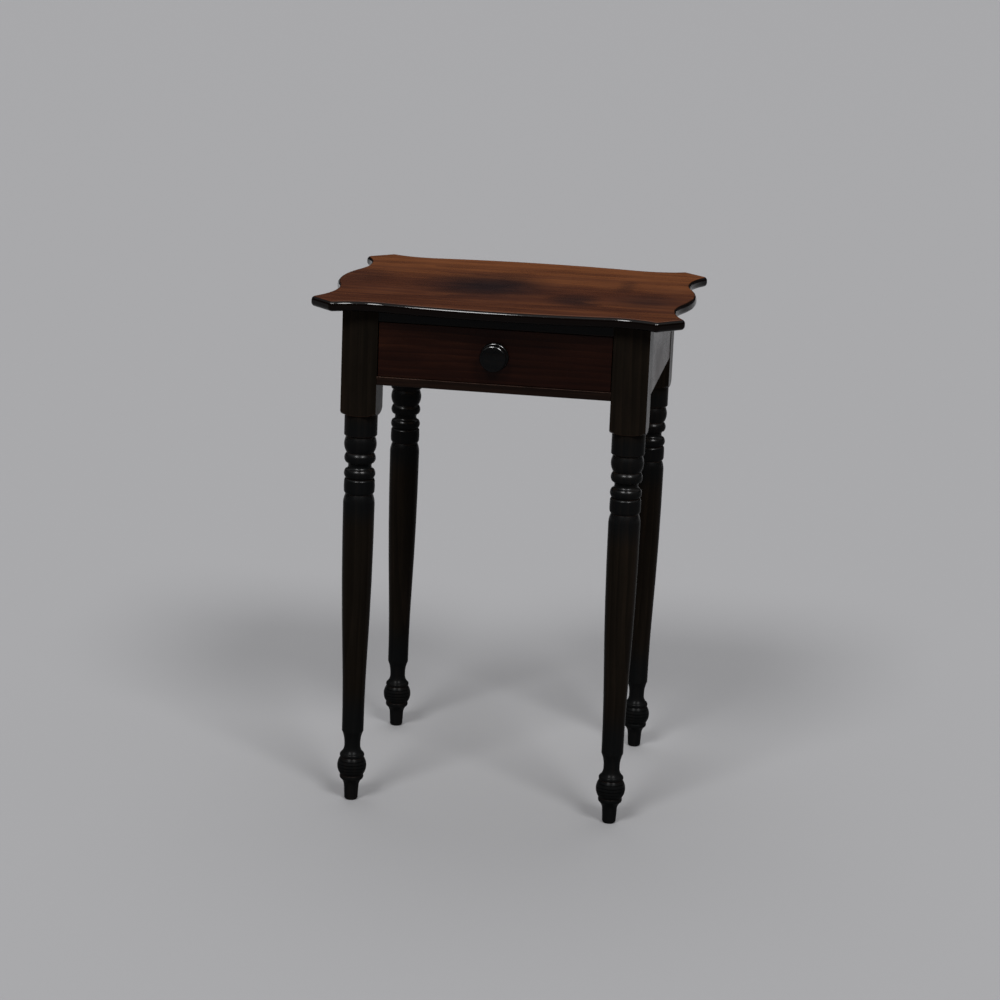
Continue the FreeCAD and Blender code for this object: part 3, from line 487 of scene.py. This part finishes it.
# Heights where the finish of a leg changes, from the floor up
SHAFT_BLACK_END = 0.118
SHAFT_BROWN_START = 0.172
SHAFT_BROWN_END = 0.385
RINGS_START = 0.424
RINGS_END = 0.530
POST_START = 0.552

# Tones of the blackened stretches
LEG_BLACK = ((0.0036, 0.0038, 0.0039), (0.0053, 0.0055, 0.0056), (0.0095, 0.0078, 0.0068))

# Scuffed feet: duller, with less polish
SCUFF_FULL = 0.070
SCUFF_END = 0.130
SCUFF_ROUGHNESS = 0.22
SCUFF_POLISH_SHARE = 0.20

# Lines scribed round the ball of each foot, one in the middle of each pitch
SCRIBE_PITCH = 0.0046
SCRIBE_PLACE_SHARE = 0.5
SCRIBE_WIDTH_SHARE = 0.20
SCRIBE_LOW = 0.0395
SCRIBE_HIGH = 0.0605
SCRIBE_FADE = 0.0020
SCRIBE_SHARE = 0.7
SCRIBE_TONE = (0.0010, 0.0010, 0.0010)

# Polish on turned wood, by how far it faces up
POLISH_START = 0.08
POLISH_FULL = 0.38
TURNED_POLISH = 0.5
TURNED_POLISH_ROUGHNESS = 0.26


def scribed_lines(finish, height):
    """Where the lines run round the ball of a foot."""
    within_pitch = finish.math("FRACT", finish.math("DIVIDE", height, SCRIBE_PITCH))
    from_line = finish.math("ABSOLUTE", finish.math("SUBTRACT", within_pitch, SCRIBE_PLACE_SHARE))
    line = finish.fade(from_line, SCRIBE_WIDTH_SHARE, 0.0)
    above = finish.fade(height, SCRIBE_LOW - SCRIBE_FADE, SCRIBE_LOW)
    below = finish.fade(height, SCRIBE_HIGH + SCRIBE_FADE, SCRIBE_HIGH)
    return finish.math("MULTIPLY", line, finish.math("MULTIPLY", above, below))


def leg_finish(name):
    """Turned legs: blackened feet and rings, dark brown shafts and posts."""
    finish = WoodFinish(name, "z", TURNED_WOOD)
    figure = finish.figure()
    brown = finish.toned(figure)
    black = finish.ramp(figure, LEG_BLACK, TONE_PLACES)
    height = finish.parts["Z"]
    shaft = finish.math("MULTIPLY", finish.fade(height, SHAFT_BLACK_END, SHAFT_BROWN_START),
                        finish.fade(height, RINGS_START, SHAFT_BROWN_END))
    post = finish.fade(height, RINGS_END, POST_START)
    colour = finish.mix(finish.math("MAXIMUM", shaft, post), black, brown)
    lines = scribed_lines(finish, height)
    line_share = finish.math("MULTIPLY", lines, SCRIBE_SHARE)
    colour = finish.mix(line_share, finish.rubbed(colour), SCRIBE_TONE)
    scuffs = finish.fade(height, SCUFF_END, SCUFF_FULL, 0.0, SCUFF_ROUGHNESS)
    kept = finish.fade(height, SCUFF_FULL, SCUFF_END, SCUFF_POLISH_SHARE, 1.0)
    polish = finish.math("MULTIPLY", kept, finish.facing("Z", POLISH_START, POLISH_FULL, TURNED_POLISH))
    return finish.varnished(colour, finish.math("ADD", finish.roughness(), scuffs), lines,
                            coat_weight=polish, coat_roughness=TURNED_POLISH_ROUGHNESS)


# Knob

KNOB_POLISH = 1.0
KNOB_POLISH_ROUGHNESS = 0.12
KNOB_POLISH_IOR = 1.9


def knob_finish(name):
    """An ebonised knob, polished by hands."""
    finish = WoodFinish(name, "y", EBONISED_WOOD)
    polish = finish.facing("Z", POLISH_START, POLISH_FULL, KNOB_POLISH)
    return finish.varnished(finish.toned(finish.figure()), finish.roughness(), coat_weight=polish,
                            coat_roughness=KNOB_POLISH_ROUGHNESS, coat_ior=KNOB_POLISH_IOR)


# Iron

IRON_TONES = ((0.020, 0.017, 0.016), (0.055, 0.048, 0.045), (0.100, 0.060, 0.040))
IRON_CLOUD = Cloud(scales=(420.0, 420.0, 420.0), detail=4.0, roughness=0.65)
IRON_POLISHED = 0.42
IRON_DULL = 0.75
IRON_BARE = 0.85
IRON_RUSTED = 0.25
IRON_RELIEF = 0.0001
IRON_RELIEF_SHARE = 0.5


def iron_finish(name):
    """Dark iron with a little rust."""
    finish = Finish(name)
    place = finish.add("TexCoord").outputs["Object"]
    mottle = finish.noise(place, IRON_CLOUD)
    return finish.surface(base_color=finish.ramp(mottle, IRON_TONES, TONE_PLACES),
                          roughness=finish.fade(mottle, MOTTLE_LOW, MOTTLE_HIGH, IRON_POLISHED, IRON_DULL),
                          metallic=finish.fade(mottle, MOTTLE_LOW, MOTTLE_HIGH, IRON_BARE, IRON_RUSTED),
                          normal=finish.bump(mottle, IRON_RELIEF, IRON_RELIEF_SHARE))


# Pieces

# Meshes: what is welded, what counts as flat, and where the shading breaks
WELD_REACH = 1e-6
FLAT_ANGLE = math.radians(0.5)
SHADE_ANGLE = math.radians(30)

# Rounded arrises: the angle and length that count as one, and the size of the round
ARRIS_ANGLE = math.radians(35)
ARRIS_MIN_LENGTH = 0.0025
ARRIS_ROUND = 0.0006
ARRIS_STEPS = 2
ARRIS_PROFILE = 0.5


def as_piece(node, shape, material):
    """Make a built shape the visible piece for a CAD node, on the node's own body."""
    mesh = bpy.data.meshes.new(node + "_finish")
    shape.to_mesh(mesh)
    shape.free()
    mesh.materials.append(material)
    mesh.shade_smooth()
    mesh.set_sharp_from_angle(angle=SHADE_ANGLE)
    piece = bpy.data.objects.new(node + "_finish", mesh)
    bpy.context.scene.collection.objects.link(piece)
    normals = piece.modifiers.new("face_normals", "WEIGHTED_NORMAL")
    normals.keep_sharp = True
    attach(piece, frame["nodes"][node]["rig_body"])
    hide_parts(node)


def welded(node):
    """The node's solid with its seams welded and its flat faces whole."""
    shape = bmesh.new()
    shape.from_mesh(frame["nodes"][node].data)
    bmesh.ops.remove_doubles(shape, verts=shape.verts, dist=WELD_REACH)
    bmesh.ops.dissolve_limit(shape, angle_limit=FLAT_ANGLE, verts=shape.verts, edges=shape.edges)
    return shape


def is_arris(edge):
    """Whether an edge is an outer one, sharp and long enough to be rounded."""
    if len(edge.link_faces) != 2 or edge.calc_length() < ARRIS_MIN_LENGTH:
        return False
    return edge.calc_face_angle_signed() > ARRIS_ANGLE


def board(node, material):
    """A board with its arrises rounded over, as a plane and sandpaper leave them."""
    shape = welded(node)
    arrises = [edge for edge in shape.edges if is_arris(edge)]
    bmesh.ops.bevel(shape, geom=arrises, offset=ARRIS_ROUND, offset_type="OFFSET", segments=ARRIS_STEPS,
                    profile=ARRIS_PROFILE, affect="EDGES", clamp_overlap=True)
    as_piece(node, shape, material)


def paint(node, material):
    """Give a CAD node that stays in view its finish."""
    for slot in frame["nodes"][node].material_slots:
        slot.material = material


case_along_x = wood_finish("case_along_x", "x", CASE_WOOD)
case_along_y = wood_finish("case_along_y", "y", CASE_WOOD)
inside_along_x = wood_finish("inside_along_x", "x", INSIDE_WOOD)
inside_along_y = wood_finish("inside_along_y", "y", INSIDE_WOOD)
iron = iron_finish("iron")

paint("top", top_finish("top_polish"))
leg_wood = leg_finish("leg_wood")
for leg in ("front_left_leg", "front_right_leg", "rear_left_leg", "rear_right_leg"):
    paint(leg, leg_wood)
for fastener in ("top_screws", "drawer_nails"):
    paint(fastener, iron)

as_piece("knob", welded("knob"), knob_finish("knob_ebony"))
# The upper rail's near-black tones are painted shade from the overhanging top.
board("upper_rail", wood_finish("rail_ebony", "x", RAIL_PAINTED_SHADE_WOOD))
board("drawer_blade", blade_finish("blade_wood"))
board("back_apron", case_along_x)
board("drawer_front", drawer_front_finish("drawer_front_wood"))
for node in ("left_apron", "right_apron"):
    board(node, case_along_y)
for node in ("drawer_stops", "glue_blocks", "drawer_back", "drawer_bottom"):
    board(node, inside_along_x)
for node in ("left_runner", "right_runner", "left_kicker", "right_kicker", "left_guide", "right_guide",
             "drawer_left_side", "drawer_right_side"):
    board(node, inside_along_y)


# Studio: a pale floor, two soft keys in front, a weak one behind and a dim sky

def add_floor():
    """A wide plain floor at height 0."""
    shape = bmesh.new()
    half = FLOOR_SIDE / 2
    corners = ((-half, -half), (half, -half), (half, half), (-half, half))
    shape.faces.new([shape.verts.new((x, y, 0.0)) for x, y in corners])
    mesh = bpy.data.meshes.new("floor")
    shape.to_mesh(mesh)
    shape.free()
    finish = Finish("floor")
    mesh.materials.append(finish.surface(base_color=FLOOR_COLOUR, roughness=FLOOR_ROUGHNESS,
                                         specular_ior_level=FLOOR_GLOSS))
    floor = bpy.data.objects.new("floor", mesh)
    bpy.context.scene.collection.objects.link(floor)


def add_sun(name, turn, rise, spread, strength):
    """A soft distant lamp. A turn of 0 stands over the camera."""
    lamp = bpy.data.lights.new(name, "SUN")
    lamp.energy = strength
    lamp.angle = spread
    sun = bpy.data.objects.new(name, lamp)
    bearing = CAMERA_YAW + turn
    level = math.cos(rise)
    towards = Vector((math.sin(bearing) * level, -math.cos(bearing) * level, math.sin(rise)))
    sun.rotation_mode = "QUATERNION"
    sun.rotation_quaternion = towards.to_track_quat("Z", "Y")
    bpy.context.scene.collection.objects.link(sun)


def add_sky():
    """Light from all round, dim at the horizon and brighter overhead."""
    world = bpy.data.worlds.new("studio")
    world.use_nodes = True
    nodes = world.node_tree.nodes
    links = world.node_tree.links
    direction = nodes.new("ShaderNodeTexCoord")
    parts = nodes.new("ShaderNodeSeparateXYZ")
    ramp = nodes.new("ShaderNodeValToRGB")
    low, high = ramp.color_ramp.elements
    low.position = SKY_LOW_PLACE
    low.color = (*SKY_LOW, OPAQUE)
    high.position = SKY_HIGH_PLACE
    high.color = (*SKY_HIGH, OPAQUE)
    links.new(direction.outputs["Generated"], parts.inputs["Vector"])
    links.new(parts.outputs["Z"], ramp.inputs["Fac"])
    links.new(ramp.outputs["Color"], nodes["Background"].inputs["Color"])
    bpy.context.scene.world = world


def add_camera():
    """The photograph's view: turned, tipped and rolled about its place."""
    forward = Vector((-math.sin(CAMERA_YAW) * math.cos(CAMERA_PITCH),
                      math.cos(CAMERA_YAW) * math.cos(CAMERA_PITCH), -math.sin(CAMERA_PITCH)))
    level = Vector((math.cos(CAMERA_YAW), math.sin(CAMERA_YAW), 0.0))
    upright = level.cross(forward)
    right = level * math.cos(CAMERA_ROLL) + upright * math.sin(CAMERA_ROLL)
    up = upright * math.cos(CAMERA_ROLL) - level * math.sin(CAMERA_ROLL)
    lens = bpy.data.cameras.new("camera")
    lens.sensor_width = CAMERA_SENSOR
    lens.lens = CAMERA_LENS
    lens.clip_end = CAMERA_REACH
    camera = bpy.data.objects.new("camera", lens)
    turned = Matrix((right, up, -forward)).transposed().to_4x4()
    camera.matrix_world = Matrix.Translation(CAMERA_PLACE) @ turned
    bpy.context.scene.collection.objects.link(camera)
    bpy.context.scene.camera = camera


add_floor()
add_sun("key_left", -KEY_TURN, KEY_RISE, KEY_SPREAD, KEY_STRENGTH)
add_sun("key_right", KEY_TURN, KEY_RISE, KEY_SPREAD, KEY_STRENGTH)
add_sun("back_fill", BACK_TURN, BACK_RISE, BACK_SPREAD, BACK_STRENGTH)
add_sky()
add_camera()
bpy.context.scene.view_settings.view_transform = "Standard"
